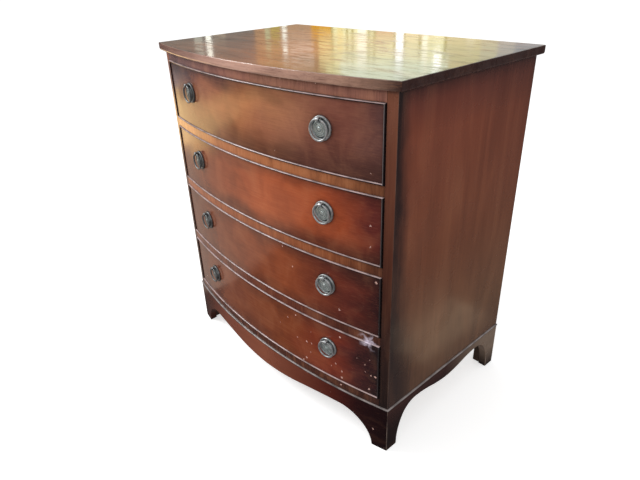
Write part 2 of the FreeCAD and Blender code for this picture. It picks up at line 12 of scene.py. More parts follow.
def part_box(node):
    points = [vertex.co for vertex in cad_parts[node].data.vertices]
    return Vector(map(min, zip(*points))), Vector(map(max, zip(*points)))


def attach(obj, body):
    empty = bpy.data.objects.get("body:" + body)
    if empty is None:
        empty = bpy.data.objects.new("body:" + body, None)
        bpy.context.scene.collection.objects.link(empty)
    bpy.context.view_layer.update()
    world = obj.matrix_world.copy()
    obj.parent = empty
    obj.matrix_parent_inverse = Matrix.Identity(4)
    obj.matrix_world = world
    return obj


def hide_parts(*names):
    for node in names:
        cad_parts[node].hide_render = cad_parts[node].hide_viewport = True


MM = 0.001

# ---- The chest's sizes, as in the CAD source
BOW_RADIUS = 1486 * MM
TOP_HALF = 381 * MM
TOP_OVERHANG = 12.5 * MM
TOP_END_DEPTH = 443.5 * MM    # at its ends, where the bow has run out
TOP_LOWER_ROUND = 5 * MM
TOP_UPPER_ARRIS = 1.5 * MM
HALF_WIDTH = 368.5 * MM
BACK_INSET = 5.5 * MM    # of the carcass, in from the top's back
DRAWER_HALF = 347.5 * MM
FRONT_THICK = 24 * MM
BEAD_THICK = 3.2 * MM
BEAD_REBATE = 7 * MM    # how deep the bead sits behind the drawer's face
BEAD_PROUD = 2.5 * MM
PLINTH_PROUD = 3.4 * MM
BASE_PROUD = 1.75 * MM
BASE_THICK = 20 * MM
PULL_X = 221 * MM    # the plate's middle, across from the drawer's
PULL_RISE = 12 * MM    # the plate's middle, up from the drawer's
RING_RADIUS = 19 * MM
WIRE_RADIUS = 2 * MM
RING_STANDOFF = 9.5 * MM    # the eye's middle, out from the drawer's face
RING_RISE = 17.5 * MM    # the eye's middle, up from the plate's
EYE_RADIUS = 2.7 * MM
LUG_RADIUS = 4.4 * MM
LUG_WIDTH = 7 * MM
DRAWERS = (1, 2, 3, 4)

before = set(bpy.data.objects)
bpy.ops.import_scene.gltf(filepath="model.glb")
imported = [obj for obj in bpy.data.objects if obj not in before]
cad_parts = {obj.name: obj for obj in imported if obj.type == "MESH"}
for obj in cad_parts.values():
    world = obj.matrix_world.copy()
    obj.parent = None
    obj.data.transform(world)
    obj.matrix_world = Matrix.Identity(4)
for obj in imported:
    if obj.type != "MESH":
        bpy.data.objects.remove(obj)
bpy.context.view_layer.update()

TOP_RADIUS = BOW_RADIUS + TOP_OVERHANG
TOP_BOW = TOP_RADIUS - math.sqrt(TOP_RADIUS ** 2 - TOP_HALF ** 2)
TOP_BACK_Y = (TOP_END_DEPTH + TOP_BOW) / 2
BACK_Y = TOP_BACK_Y - BACK_INSET
BOW_AXIS_Y = TOP_RADIUS - TOP_BACK_Y
BOW_AXIS = Vector((0, BOW_AXIS_Y, 0))
X_AXIS = Vector((1, 0, 0))
Y_AXIS = Vector((0, 1, 0))
Z_AXIS = Vector((0, 0, 1))
ORIGIN = Vector((0, 0, 0))


def bow_y(x, radius):
    """Y of the bow with this radius, at x."""
    return BOW_AXIS_Y - math.sqrt(radius ** 2 - x ** 2)


CORNER_Y = bow_y(HALF_WIDTH, BOW_RADIUS)


# ---- Materials

def linear(hex_colour):
    """An sRGB colour like '#8a4b2c' as a linear RGBA one."""
    values = [int(hex_colour[k:k + 2], 16) / 255 for k in (1, 3, 5)]
    return [v / 12.92 if v <= 0.04045 else ((v + 0.055) / 1.055) ** 2.4 for v in values] + [1]


def node(tree, kind, *values, named=None, stops=(), **settings):
    """Add a node: its settings, then its live inputs in order, then any named ones.

    A value is a number, a hex colour, another node, or one of another node's outputs. Stops are
    the (place, hex colour) pairs of a colour ramp, first to last.
    """
    made = tree.nodes.new("ShaderNode" + kind)
    for name, value in settings.items():
        setattr(made, name, value)
    if stops:
        elements = made.color_ramp.elements
        for element, (place, colour) in zip(elements, (stops[0], stops[-1])):
            element.position, element.color = place, linear(colour)
        for place, colour in stops[1:-1]:
            elements.new(place).color = linear(colour)
    live = [socket for socket in made.inputs if socket.enabled]
    pairs = list(zip(live, values)) + [(made.inputs[k], v) for k, v in (named or {}).items()]
    for socket, value in pairs:
        if isinstance(value, bpy.types.Node):
            value = next(output for output in value.outputs if output.enabled)
        if isinstance(value, bpy.types.NodeSocket):
            tree.links.new(value, socket)
        else:
            socket.default_value = linear(value) if isinstance(value, str) else value
    return made


def new_finish(name):
    """A new empty material, and the function that adds nodes to it."""
    made = bpy.data.materials.new(name)
    made.use_nodes = True
    made.node_tree.nodes.clear()
    return made, functools.partial(node, made.node_tree)


# A noise is given its place, scale, detail, roughness, lacunarity and distortion, and its scale is
# 1 because cells() holds the size. Map Range is given a value, the range that it comes in and the
# range that it goes out in, which is 0 to 1 where it is left out.

def cells(n, x, y, z):
    """Object coordinates in cells of this many millimetres."""
    return n("Mapping", n("TexCoord").outputs["Object"],
             named={"Scale": (1 / (x * MM), 1 / (y * MM), 1 / (z * MM))})


def chips(n, spacing, size, share):
    """Where small chips in the polish are: one in this share of the cells, sizes in mm."""
    found = n("TexVoronoi", cells(n, spacing, spacing, spacing), named={"Scale": 1.0})
    pick = n("SeparateColor", found.outputs["Color"])
    torn = n("MapRange", n("TexNoise", cells(n, 1.6, 1.6, 1.6), 1.0, 2.0), 0.35, 0.65, 0.4, 1.3)
    own_size = n("Math", pick.outputs[1], size / spacing, operation="MULTIPLY")
    reach = n("Math", own_size, torn, operation="MULTIPLY")
    inside = n("Math", found.outputs["Distance"], reach, operation="LESS_THAN")
    chosen = n("Math", pick.outputs[0], share, operation="LESS_THAN")
    return n("Math", inside, chosen, operation="MULTIPLY")


def arris(n):
    """How far a face leans, as an eased edge does, for its wear and painted highlight; none
    underneath.
    """
    normal = n("TexCoord").outputs["Normal"]
    part = n("SeparateXYZ", n("VectorMath", normal, operation="ABSOLUTE"))
    straight = n("Math", n("Math", part.outputs[0], part.outputs[1], operation="MAXIMUM"),
                 part.outputs[2], operation="MAXIMUM")
    lean = n("MapRange", straight, 0.95, 0.84, 0.0, 1.0)
    wear_and_highlight = n("MapRange", n("TexNoise", cells(n, 40, 40, 40), 1.0, 4.0), 0.35, 0.6, 0.2, 1.0)
    up = n("MapRange", n("SeparateXYZ", normal).outputs[2], -0.2, -0.1)
    return n("Math", n("Math", lean, wear_and_highlight, operation="MULTIPLY"), up, operation="MULTIPLY")


# The middle of the scuff at the right end of the lowest rail but one, and how far its rays reach
SCUFF_X = 321 * MM
SCUFF_Z = 285 * MM
SCUFF_REACH = 29 * MM
SCUFF_RAYS = 5.0


def scuff(n):
    """The pale star of a scuff, with torn rays round its middle."""
    place = n("Mapping", n("TexCoord").outputs["Object"],
              named={"Location": (-SCUFF_X, 0, -SCUFF_Z)})
    part = n("SeparateXYZ", place)
    turn = n("Math", part.outputs[0], part.outputs[2], operation="ARCTAN2")
    blot = n("TexNoise", cells(n, 12, 12, 12), 1.0, 2.0)
    bent = n("Math", turn, n("MapRange", blot, 0.3, 0.7, -0.5, 0.5), operation="ADD")
    rays = n("Math", n("Math", bent, SCUFF_RAYS, operation="MULTIPLY"), operation="SINE")
    flat = n("CombineXYZ", part.outputs[0], 0.0, part.outputs[2])
    far = n("VectorMath", flat, operation="LENGTH").outputs["Value"]
    reach = n("MapRange", rays, -1.0, 1.0, SCUFF_REACH * 0.45, SCUFF_REACH)
    shape = n("Math", far, reach, operation="DIVIDE")
    torn = n("TexNoise", cells(n, 7, 7, 7), 1.0, 3.0)
    return n("Math", n("MapRange", shape, 1.0, 0.05, 0.0, 1.0, interpolation_type="SMOOTHSTEP"),
             n("MapRange", torn, 0.3, 0.6, 0.45, 1.0), operation="MULTIPLY")


# How far out of a corner the wood's painted shade reaches, and the brass's grime creeps
CORNER_SHADE_REACH = 7 * MM
GRIME_REACH = 3.5 * MM


def mahogany(name, tone, grain, figure, roughness=0.2, chip_share=0.1, relief=0.05, mirror=0.5,
             arris_wear_and_highlight=0.6, swirls=None):
    """Mahogany veneer under worn French polish.

    The wood gives broad ribbons, thin growth lines and short dark pores, at the grain's cell
    sizes along X, Y and Z. The polish gives a soft mirror, with chips down to the pale ground,
    painted shade in the corners, and pale rubbed arrises that also carry a painted highlight.
    Relief is the depth of the pores in mm.
    """
    made, n = new_finish(name)
    place = n("SeparateXYZ", n("TexCoord").outputs["Object"])
    shade = tone(n, place.outputs)
    broad, fine, pore = grain
    ribbon = n("TexNoise", cells(n, *broad), 1.0, 3.0, 0.5, 2.0, 0.8)
    lines = n("TexNoise", cells(n, *fine), 1.0, 4.0, 0.6, 2.0, 0.3)
    pores = n("TexNoise", cells(n, *pore), 1.0, 1.0)
    light = n("Mix", 1.0, shade, "#a06a48", data_type="RGBA", blend_type="SCREEN")
    dark = n("Mix", 1.0, shade, "#6a4438", data_type="RGBA", blend_type="MULTIPLY")
    # each pattern: where it begins and is full, how strong it then is, and its colour
    wood = shade
    for pattern, begins, full, strength, colour in (
            (ribbon, 0.5, 0.8, 0.5, light), (ribbon, 0.5, 0.2, 0.9, dark),
            (lines, 0.52, 0.8, 0.35, light), (lines, 0.48, 0.2, 0.6, dark),
            (pores, 0.6, 0.7, 0.35, "#1c0c08")):
        amount = n("MapRange", pattern, begins, full, 0.0, strength * figure)
        wood = n("Mix", amount, wood, colour, data_type="RGBA")
    # painted shade in the corners, rubbed arrises with a painted highlight, chips that are fewer
    # to the left, and the scuff
    openness = n("AmbientOcclusion", "#ffffff", CORNER_SHADE_REACH, samples=4).outputs["AO"]
    share = n("MapRange", place.outputs[0], -0.1, 0.3, 0.25 * chip_share, chip_share)
    for amount, colour in (
            # painted shade, darkest where a corner closes in
            (n("MapRange", openness, 0.55, 0.95, 0.85, 0.0), "#160b0b"),
            # pale wear on the arrises, which also stands in for their painted highlight
            (n("Math", arris(n), arris_wear_and_highlight, operation="MULTIPLY"), "#b8a294"),
            (chips(n, spacing=14, size=2.9, share=share), "#d0a89c"),
            (scuff(n), "#d4c8d8")):
        wood = n("Mix", amount, wood, colour, data_type="RGBA")
    smear = n("TexNoise", cells(n, 70, 70, 70), 1.0, 4.0)
    dull = n("MapRange", smear, 0.35, 0.7, roughness * 0.8, roughness * 1.35)
    if swirls:
        # hairlines, plain end grain, and streaks that break up the mirror
        swirl = swirls(n)
        wood = n("Mix", n("Math", swirl, 0.28, operation="MULTIPLY"), wood, "#e8d4b8",
                 data_type="RGBA")
        facing = n("SeparateXYZ", n("VectorMath", n("TexCoord").outputs["Normal"],
                                    operation="ABSOLUTE"))
        end_grain = n("MapRange", facing.outputs[0], 0.4, 0.7, 0.0, 0.85)
        wood = n("Mix", end_grain, wood, shade, data_type="RGBA")
        streaks = n("TexNoise", cells(n, 50, 14, 14), 1.0, 4.0, 0.6)
        dull = n("Math", dull, n("MapRange", streaks, 0.45, 0.7, 1.0, 2.2), operation="MULTIPLY")
        dull = n("Math", dull, n("Math", swirl, 0.1, operation="MULTIPLY"), operation="ADD")
        mirror = n("MapRange", streaks, 0.38, 0.62, mirror * 1.5, mirror * 0.35)
    height = n("Math", n("Math", pores, 0.15, operation="MULTIPLY"), lines, operation="ADD")
    pitted = n("Bump", 1.0, relief * MM, named={"Height": height})
    shader = n("BsdfPrincipled", named={"Base Color": wood, "Roughness": dull, "IOR": 1.5,
                                        "Specular IOR Level": mirror, "Normal": pitted})
    n("OutputMaterial", shader)
    return made


# Where the cloth circled on the top, how far apart its lines are, and the oval that it wore, whose
# middle is to the right
SWIRL_CENTRES = ((-40 * MM, 60 * MM), (90 * MM, -30 * MM))
SWIRL_SPACING = 34.9 * MM
WORN_HALF_WIDTH = 300 * MM
WORN_HALF_DEPTH = 160 * MM
WORN_MIDDLE_X = 30 * MM


def polishing_swirls(n):
    """Curved hairlines that an old polishing cloth left round two places on the top."""
    broken = n("MapRange", n("TexNoise", cells(n, 70, 50, 90), 1.0, 3.0), 0.45, 0.6)
    oval = n("Mapping", n("TexCoord").outputs["Object"],
             (-WORN_MIDDLE_X / WORN_HALF_WIDTH, 0, 0),
             named={"Scale": (1 / WORN_HALF_WIDTH, 1 / WORN_HALF_DEPTH, 0)})
    near = n("VectorMath", oval, operation="LENGTH").outputs["Value"]
    worn = n("Math", broken, n("MapRange", near, 1.1, 0.6, 0.15, 1.0), operation="MULTIPLY")
    lines = 0.0
    for x, y in SWIRL_CENTRES:
        place = n("Mapping", n("TexCoord").outputs["Object"], (-x, -y, 0))
        # rings turn 20 radians in one unit of scale; they are then bent by a coarse noise
        waves = n("TexWave", place, math.tau / 20 / SWIRL_SPACING, 1.6, 1.0, 0.8,
                  wave_type="RINGS", rings_direction="Z")
        line = n("MapRange", waves.outputs["Fac"], 0.97, 1.0)
        lines = n("Math", line, lines, operation="MAXIMUM")
    facing = n("SeparateXYZ", n("TexCoord").outputs["Normal"])
    level = n("MapRange", facing.outputs[2], 0.9, 1.0, 0.0, 0.5)
    return n("Math", n("Math", lines, worn, operation="MULTIPLY"), level, operation="MULTIPLY")


# Cell sizes in mm of ribbons, growth lines and pores, for grain that runs along X, Y or Z. Real
# pores are about 0.2 mm wide, and are drawn three or four times as wide so that they show.
GRAIN_X = ((300, 60, 45), (150, 4, 2.6), (9, 0.8, 0.6))
FRONT_GRAIN = ((60, 60, 70), (150, 4, 2.6), (9, 0.8, 0.6))
GRAIN_Y = ((60, 300, 45), (4, 150, 2.6), (0.8, 9, 0.6))
GRAIN_Z = ((45, 45, 300), (3, 3, 170), (0.7, 0.7, 10))
CROSS_BAND = ((24, 60, 90), (3, 8, 60), (0.8, 0.8, 8))

# Each drawer's colours from its left end to its right, its veneer and toner with painted shade
# that makes the lower drawers darker; then the painted shade under its upper edge at the left and
# at the right, the same along its foot, and how far up the shade of the foot reaches
DRAWER_TONES = {
    1: (((0, "#422820"), (0.25, "#7c4830"), (0.5, "#a0603c"), (0.74, "#80493a"),
         (0.9, "#724236"), (1, "#5a3834")), (0.75, 0.0), (0.4, 0.65), 80 * MM),
    2: (((0, "#5e3a2c"), (0.25, "#743c26"), (0.6, "#a4502a"), (0.85, "#9c4624"),
         (1, "#5a221c")), (0.3, 0.5), (0.1, 0.7), 50 * MM),
    3: (((0, "#563224"), (0.3, "#703a24"), (0.65, "#864020"), (0.87, "#602418"),
         (0.94, "#481a14"), (1, "#200a10")), (0.3, 0.6), (0.1, 0.35), 36 * MM),
    4: (((0, "#482418"), (0.3, "#743e28"), (0.6, "#783818"), (0.85, "#742a18"),
         (0.93, "#481c1a"), (0.99, "#140810")), (0.21, 0.35), (0.25, 0.2), 36 * MM),
}
UPPER_SHADE = 36 * MM    # how far down the painted shade under the upper edge reaches
FULL_SHADE = 6 * MM    # how near its edge each painted shade is full


def front_tone(number):
    """Toned lacquer of a drawer: warm in the middle, dark to the right end; painted shade above
    and below.
    """
    stops, under, foot, foot_shade = DRAWER_TONES[number]
    low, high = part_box("drawer_%d_front" % number)

    def tone(n, place):
        across = n("MapRange", place[0], -DRAWER_HALF, DRAWER_HALF, 0.0, 1.0)
        cloud = n("TexNoise", cells(n, 120, 120, 70), 1.0, 3.0)
        spread = n("MapRange", cloud, 0.3, 0.7, -0.05, 0.05)
        colour = n("ValToRGB", n("Math", across, spread, operation="ADD"), stops=stops)
        uneven = n("MapRange", cloud, 0.3, 0.7, -14 * MM, 14 * MM)
        # each edge's painted shade: the way to the front's middle, its darkness at the two places
        # across the front between which it changes, and how far in it reaches
        for edge, way, darkness, between, far in (
                (high.z, -1, under, (0.3, 0.9), UPPER_SHADE),
                (low.z, 1, foot, (0.1, 0.5), foot_shade)):
            inward = n("Math", n("Math", place[2], edge, operation="SUBTRACT"), way,
                       operation="MULTIPLY")
            shade = n("MapRange", n("Math", inward, uneven, operation="ADD"), far, FULL_SHADE,
                      0.0, 1.0, interpolation_type="SMOOTHSTEP")
            strength = n("MapRange", across, *between, *darkness)
            # painted shade, darkest at the edge
            colour = n("Mix", n("Math", shade, strength, operation="MULTIPLY"), colour,
                       "#2c1815", data_type="RGBA")
        return colour
    return tone


def top_tone(n, place):
    """Warm in the middle of the face; on the moulded edge a painted grey sheen, and painted shade
    at the ends.
    """
    across = n("MapRange", place[0], -TOP_HALF, TOP_HALF, 0.0, 1.0)
    face = n("ValToRGB", across, stops=(
        (0, "#4c3324"), (0.25, "#6b3d26"), (0.55, "#9a5a34"), (0.8, "#6c4c2e"), (1, "#44392b")))
    # the moulded edge: a painted sheen, grey and pale in its middle, and painted shade at the
    # ends, darkest on the right
    edge = n("ValToRGB", across, stops=(
        (0, "#6a4c42"), (0.5, "#bc9484"), (0.9, "#a07c6a"), (1, "#33211f")))
    facing = n("SeparateXYZ", n("TexCoord").outputs["Normal"])
    return n("Mix", n("MapRange", facing.outputs[2], 0.6, 0.8), edge, face, data_type="RGBA")


def rail_tone(n, place):
    """Painted shade: darker the lower a rail is, and at its right end; a painted reflection greys
    the top rail's left.
    """
    # darker the lower the rail, as painted shade
    colour = n("ValToRGB", place[2], stops=(
        (0.13, "#4c2618"), (0.29, "#602e1e"), (0.46, "#92502c"), (0.62, "#a4623a"),
        (0.78, "#8c5c4e")))
    # painted shade towards the right end of the lower rails
    rightward = n("Math", n("MapRange", place[0], 0.0, DRAWER_HALF), 3.0, operation="POWER")
    low_rails = n("MapRange", place[2], 0.75, 0.6, 0.0, 0.8)
    shade = n("Math", rightward, low_rails, operation="MULTIPLY")
    colour = n("Mix", shade, colour, "#2c1612", data_type="RGBA")
    # a painted grey reflection on the left of the top rail
    leftward = n("MapRange", place[0], -50 * MM, -250 * MM, 0.0, 0.6)
    shade = n("Math", leftward, n("MapRange", place[2], 0.74, 0.77), operation="MULTIPLY")
    return n("Mix", shade, colour, "#484048", data_type="RGBA")


def side_tone(n, place):
    """Like the rails on its front edge; on its face browner, dark along the front, and in painted
    shade under the top.
    """
    # the face, with painted shade in its top band, under the top
    face = n("ValToRGB", place[2], stops=(
        (0.13, "#5c402e"), (0.25, "#6a4832"), (0.45, "#70402a"), (0.7, "#7c402c"),
        (0.76, "#683428"), (0.79, "#3e201e")))
    back = n("Math", place[1], CORNER_Y, operation="SUBTRACT")
    cloud = n("TexNoise", cells(n, 90, 90, 160), 1.0, 3.0)
    back = n("Math", back, n("MapRange", cloud, 0.3, 0.7, -15 * MM, 15 * MM), operation="ADD")
    reach = n("MapRange", place[2], 0.45, 0.12, 45 * MM, 160 * MM)
    near = n("MapRange", back, 0.0, reach, 0.96, 0.0, interpolation_type="SMOOTHSTEP")
    face = n("Mix", near, face, "#1e1416", data_type="RGBA")
    # painted shade at the upper rear
    rear = n("MapRange", place[1], 0.0, 0.24, 0.0, 0.5)
    upper_rear = n("Math", rear, n("MapRange", place[2], 0.55, 0.78), operation="MULTIPLY")
    face = n("Mix", upper_rear, face, "#3c201c", data_type="RGBA")
    # the front edge, like the rails, in painted shade that darkens it lower down
    edge = n("ValToRGB", place[2], stops=(
        (0.13, "#180a08"), (0.3, "#2e1610"), (0.45, "#482214"), (0.6, "#5c3020"),
        (0.79, "#7e4a34")))
    facing = n("SeparateXYZ", n("TexCoord").outputs["Normal"])
    front = n("MapRange", facing.outputs[1], -0.6, -0.8, 0.0, 1.0)
    return n("Mix", front, face, edge, data_type="RGBA")


def base_tone(n, place):
    """Warm in the middle of the apron, and nearly black at the right foot."""
    across = n("MapRange", place[0], -HALF_WIDTH, HALF_WIDTH, 0.0, 1.0)
    return n("ValToRGB", across, stops=(
        (0, "#2c1410"), (0.1, "#4a2418"), (0.25, "#744030"), (0.5, "#804834"), (0.8, "#4e1c14"),
        (0.9, "#240a0c"), (1, "#140408")))


def base_side_tone(n, place):
    """Nearly black by the front foot, and a greyer brown towards the rear one."""
    colour = n("ValToRGB", place[2], stops=((0, "#120a0c"), (0.06, "#1a0e10"), (0.12, "#3a2220")))
    rear = n("MapRange", place[1], 0.02, 0.18, 0.0, 1.0)
    greyer_rear = n("Math", rear, n("MapRange", place[2], 0.0, 0.06), operation="MULTIPLY")
    return n("Mix", greyer_rear, colour, "#7c6a5c", data_type="RGBA")


def ebonised(name, wear_and_highlight="#bda4a2"):
    """Blackened wood, glossy, with a painted pinkish-grey highlight where the nose turns up."""
    made, n = new_finish(name)
    facing = n("SeparateXYZ", n("TexCoord").outputs["Normal"])
    highlight_patches = n("TexNoise", cells(n, 26, 26, 26), 1.0, 3.0)
    # painted highlight on the nose where it turns up
    worn = n("Math", n("MapRange", facing.outputs[2], 0.0, 0.4, 0.0, 1.0),
             n("MapRange", highlight_patches, 0.3, 0.6, 0.4, 1.0), operation="MULTIPLY")
    # the upright strips at the drawers' ends get a painted highlight down their nose, stronger the
    # higher they are
    place = n("SeparateXYZ", n("TexCoord").outputs["Object"])
    at_end = n("Math", n("Math", place.outputs[0], operation="ABSOLUTE"),
               DRAWER_HALF - BEAD_THICK - 0.1 * MM, operation="GREATER_THAN")
    nose = n("MapRange", facing.outputs[1], -0.75, -0.97, 0.0, 1.0)
    higher = n("MapRange", place.outputs[2], 0.4, 0.78, 0.08, 0.45)
    nose_highlight = n("Math", n("Math", at_end, nose, operation="MULTIPLY"), higher,
                operation="MULTIPLY")
    wood = "#120b0d"
    for amount, colour in (
            (worn, wear_and_highlight), (nose_highlight, "#9a9090"),
            (chips(n, spacing=20, size=2.8, share=0.2), "#e0ccc4"), (scuff(n), "#dcd0e0")):
        wood = n("Mix", amount, wood, colour, data_type="RGBA")
    shader = n("BsdfPrincipled", named={"Base Color": wood, "Roughness": 0.24, "IOR": 1.5})
    n("OutputMaterial", shader)
    return made


def raw_timber(name, light, dark, grain, line_low=0.35, roughness=0.7):
    """Planed timber with no polish: soft growth lines, pores and a matt face."""
    made, n = new_finish(name)
    broad, fine, pore = grain
    lines = n("TexNoise", cells(n, *fine), 1.0, 4.0, 0.6, 2.0, 0.3)
    ribbon = n("TexNoise", cells(n, *broad), 1.0, 2.0, 0.5, 2.0, 0.6)
    grit = n("TexNoise", cells(n, *pore), 1.0, 1.0)
    wood = n("Mix", n("MapRange", lines, line_low, 0.7), dark, light, data_type="RGBA")
    wood = n("Mix", n("MapRange", ribbon, 0.45, 0.75, 0.0, 0.4), wood, dark, data_type="RGBA")
    relief = n("Bump", 0.25, 0.4 * MM, named={"Height": grit})
    dull = n("MapRange", ribbon, 0.3, 0.7, roughness - 0.08, roughness + 0.1)
    shader = n("BsdfPrincipled", named={"Base Color": wood, "Roughness": dull, "IOR": 1.45,
                                        "Normal": relief})
    n("OutputMaterial", shader)
    return made


def antique_brass(name, dull_grey, pale_grey):
    """Brass under a thin grey crust: dark in its hollows, rubbed to a pale silver on its rims."""
    made, n = new_finish(name)
    patina = n("TexNoise", cells(n, 6, 6, 6), 1.0, 4.0)
    mottled = n("Mix", n("MapRange", patina, 0.35, 0.65), dull_grey, pale_grey,
                data_type="RGBA")
    # painted shade makes the pulls on the left blacker
    across = n("SeparateXYZ", n("TexCoord").outputs["Object"])
    leftward = n("MapRange", across.outputs[0], 0.1, -0.15, 0.0, 0.58)
    mottled = n("Mix", leftward, mottled, "#23282a", data_type="RGBA")
    openness = n("AmbientOcclusion", "#ffffff", GRIME_REACH, samples=8).outputs["AO"]
    metal = n("Mix", n("MapRange", openness, 0.2, 0.75), "#161b1d", mottled, data_type="RGBA")
    dull = n("MapRange", patina, 0.3, 0.7, 0.5, 0.36)
    shader = n("BsdfPrincipled", named={"Base Color": metal, "Roughness": dull,
                                        "Metallic": 0.7})
    n("OutputMaterial", shader)
    return made


# The share of the 14 mm cells at a front's right end that hold a chip
CHIP_SHARE = {1: 0.05, 2: 0.03, 3: 0.2, 4: 0.5}

# French polish over toned lacquer: the figure is half veiled under a soft warm mirror
FRONTS = {
    number: mahogany("polished_mahogany_front_%d" % number, front_tone(number), FRONT_GRAIN,
                     figure=0.38, roughness=0.17, chip_share=CHIP_SHARE[number], relief=0.02)
    for number in DRAWERS}
# French polish rubbed with a cloth for years: near a mirror, broken by streaks and hairlines
TOP_POLISH = mahogany("polished_mahogany_top", top_tone, GRAIN_X, figure=1.0, roughness=0.1,
                      chip_share=0.04, relief=0.03, swirls=polishing_swirls)
# Veneer laid across the rails: short upright figure, which shows more than that of the fronts
RAIL_POLISH = mahogany("polished_mahogany_rails", rail_tone, CROSS_BAND, figure=0.6,
                       relief=0.02)
# A thinner coat on the sides: calm figure, a duller shine and hardly a chip
SIDE_POLISH = mahogany("polished_mahogany_sides", side_tone, GRAIN_Z, figure=0.3, roughness=0.24,
                       chip_share=0.008, relief=0.02, arris_wear_and_highlight=0.12)
# Dark stain and little polish near the floor: the figure drowns, and almost nothing mirrors
BASE_POLISH = mahogany("polished_mahogany_base_front", base_tone, GRAIN_X, figure=0.15,
                       roughness=0.24, mirror=0.15)
BASE_SIDE_POLISH = mahogany("polished_mahogany_base_sides", base_side_tone, GRAIN_Y, figure=0.15,
                            roughness=0.28, mirror=0.15)
# Mahogany stained black: glossy dark lines, with a painted pale highlight where the nose catches
# the light
BEAD = ebonised("ebonised_bead")
PLINTH_BEAD = ebonised("ebonised_plinth_bead", "#988e8c")
# Turned and cast brass, antiqued: a soft grey gleam, greener on the domes, and dull black-green
# where grime fills the turned grooves
BRASS = antique_brass("antique_brass", "#8c9292", "#bcbec0")
DOME_BRASS = antique_brass("green_brass", "#a4b0ae", "#ccd6d4")
GRIME = antique_brass("grimy_brass", "#4a5456", "#626c6e")
# Planed pine and oak with no finish: matt and pale, with soft lines along each board
PINE_Y = raw_timber("planed_pine_along_y", "#b48a58", "#94683c", GRAIN_Y)
PINE_X = raw_timber("planed_pine_along_x", "#ae8654", "#8e643a", GRAIN_X)
OAK_Y = raw_timber("planed_oak_along_y", "#a88660", "#86663f", GRAIN_Y, line_low=0.3,
                   roughness=0.6)
OAK_X = raw_timber("planed_oak_along_x", "#a88660", "#86663f", GRAIN_X, line_low=0.3,
                   roughness=0.6)
# Sawn pine under brown stain: dark and flat, as inside an old base
BASE_PINE = raw_timber("stained_pine", "#463224", "#34251b", GRAIN_X)
# Peeled birch, sanded: pale with wide quiet figure, and brown where it is stained
PLY = raw_timber("sanded_birch_ply", "#b0906a", "#967652", GRAIN_X, line_low=0.2)
BACK_PLY = raw_timber("stained_birch_ply", "#7c5a3c", "#62452e", GRAIN_Z, line_low=0.2)


# ---- Shapes

WELD = 0.001 * MM    # points nearer than this are one point
TRIANGLE_WELD = 0.002 * MM    # the same, in a CAD node's loose triangles
SHARP = math.radians(32)    # an edge that turns more looks sharp
EASED = math.radians(50)    # an edge that turns more is softened by ease()
FLAT = math.radians(0.4)    # triangles that turn less are one face
BOW_STEPS = 72
BOW_OVERRUN = math.radians(1.5)    # how far a strip runs on at each end, until its mitre is cut
SIDE_EASE = 0.8 * MM    # what sandpaper takes off the edges of the sides
BASE_EASE = 1.0 * MM    # and of the base


def mesh_of(name, bm):
    """A bmesh as a mesh, which uses it up."""
    mesh = bpy.data.meshes.new(name)
    bm.to_mesh(mesh)
    bm.free()
    return mesh


def put(name, data):
    """A new object in the scene."""
    made = bpy.data.objects.new(name, data)
    bpy.context.scene.collection.objects.link(made)
    return made


def piece(name, bm, finish, body, slot, *replaced):
    """Make an object of a mesh, in place, that stands for the CAD nodes it replaces."""
    bmesh.ops.recalc_face_normals(bm, faces=bm.faces)
    mesh = mesh_of(name, bm)
    if mesh.has_custom_normals:
        mesh.attributes.remove(mesh.attributes["custom_normal"])
    mesh.materials.append(finish)
    mesh.shade_smooth()
    mesh.set_sharp_from_angle(angle=SHARP)
    made = put(name, mesh)
    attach(made, body)
    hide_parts(*replaced)
    return made


def true_flats(made):
    """Keep broad faces flat to the light where they run into rounded edges."""
    weighted = made.modifiers.new("true_flats", "WEIGHTED_NORMAL")
    weighted.mode = "FACE_AREA"
    weighted.keep_sharp = True


def ease(made, width):
    """Soften a piece's sharp edges a little, as a block of sandpaper leaves them."""
    bevel = made.modifiers.new("arris", "BEVEL")
    bevel.width = width
    bevel.segments = 2
    bevel.limit_method = "ANGLE"
    bevel.angle_limit = EASED
    bevel.use_clamp_overlap = True
    true_flats(made)


def finished_copy(cad_node, finish, body, slot):
    """The CAD node's own shape, its triangles joined so that it shades smoothly."""
    bm = bmesh.new()
    bm.from_mesh(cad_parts[cad_node].data)
    bmesh.ops.remove_doubles(bm, verts=bm.verts, dist=TRIANGLE_WELD)
    bmesh.ops.dissolve_limit(bm, angle_limit=FLAT, verts=bm.verts, edges=bm.edges)
    return piece(cad_node + "_finished", bm, finish, body, slot, cad_node)


def all_of(bm):
    """Everything in a bmesh, as an operator takes it."""
    return bm.verts[:] + bm.edges[:] + bm.faces[:]


def points_of(made):
    """The points among what an operator made."""
    return [part for part in made["geom"] if isinstance(part, bmesh.types.BMVert)]


def add(target, source):
    """Put one bmesh into another, which uses it up."""
    mesh = mesh_of("part", source)
    target.from_mesh(mesh)
    bpy.data.meshes.remove(mesh)


def oblong(x, y):
    """A flat oblong between two places along X and along Y."""
    bm = bmesh.new()
    bmesh.ops.create_grid(bm, x_segments=1, y_segments=1, size=1)
    for v in bm.verts:
        v.co = Vector((x[v.co.x > 0], y[v.co.y > 0], 0))
    return bm


def round_off(bm, geom, affect, radius, segments):
    """Round edges, or the corners of a flat section, to a radius."""
    bmesh.ops.bevel(bm, geom=geom, offset=radius, offset_type="OFFSET", segments=segments,
                    profile=0.5, affect=affect, material=-1, clamp_overlap=True)


def draw_out(bm, way):
    """Give flat faces a depth."""
    made = bmesh.ops.extrude_face_region(bm, geom=bm.faces[:])
    bmesh.ops.translate(bm, vec=way, verts=points_of(made))


